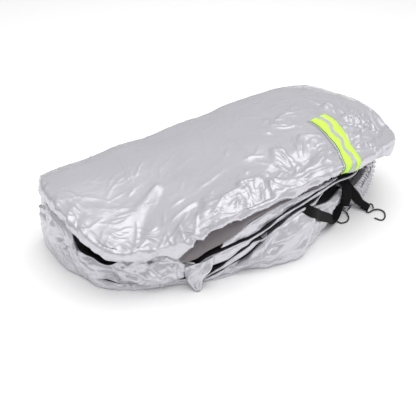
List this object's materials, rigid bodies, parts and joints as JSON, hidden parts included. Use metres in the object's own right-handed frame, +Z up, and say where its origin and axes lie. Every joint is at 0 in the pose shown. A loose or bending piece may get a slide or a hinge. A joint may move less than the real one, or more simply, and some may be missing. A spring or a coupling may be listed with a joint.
{
  "type": "folded car cover",
  "caption": "Silver-coated car cover folded back and forth into a long bundle, with a reflective tape, webbing straps and wire hooks at one end.",
  "frame": {"origin": "on the floor under the middle of the bundle", "axes": "+X along the bundle towards the end with the tape and hooks, -Y towards the side where the folded edges and straps show, +Z up"},
  "size_m": [0.948, 0.4174, 0.2547],
  "materials": {
    "silver_cloth": "thin polyester cloth with a silver coating, satin and creased",
    "safety_yellow": "matte fluorescent yellow woven tape",
    "silver_reflector": "grey glass-bead reflective band",
    "black_webbing": "matte ribbed webbing",
    "black_wire": "black coated steel wire, semi-gloss"
  },
  "bodies": {
    "root": {"cover": "silver_cloth", "reflective_tape": "safety_yellow", "reflective_band": "silver_reflector", "strap_left": "black_webbing", "strap_middle": "black_webbing", "strap_right": "black_webbing", "hook_middle": "black_wire", "hook_right": "black_wire"}
  },
  "joints": []
}
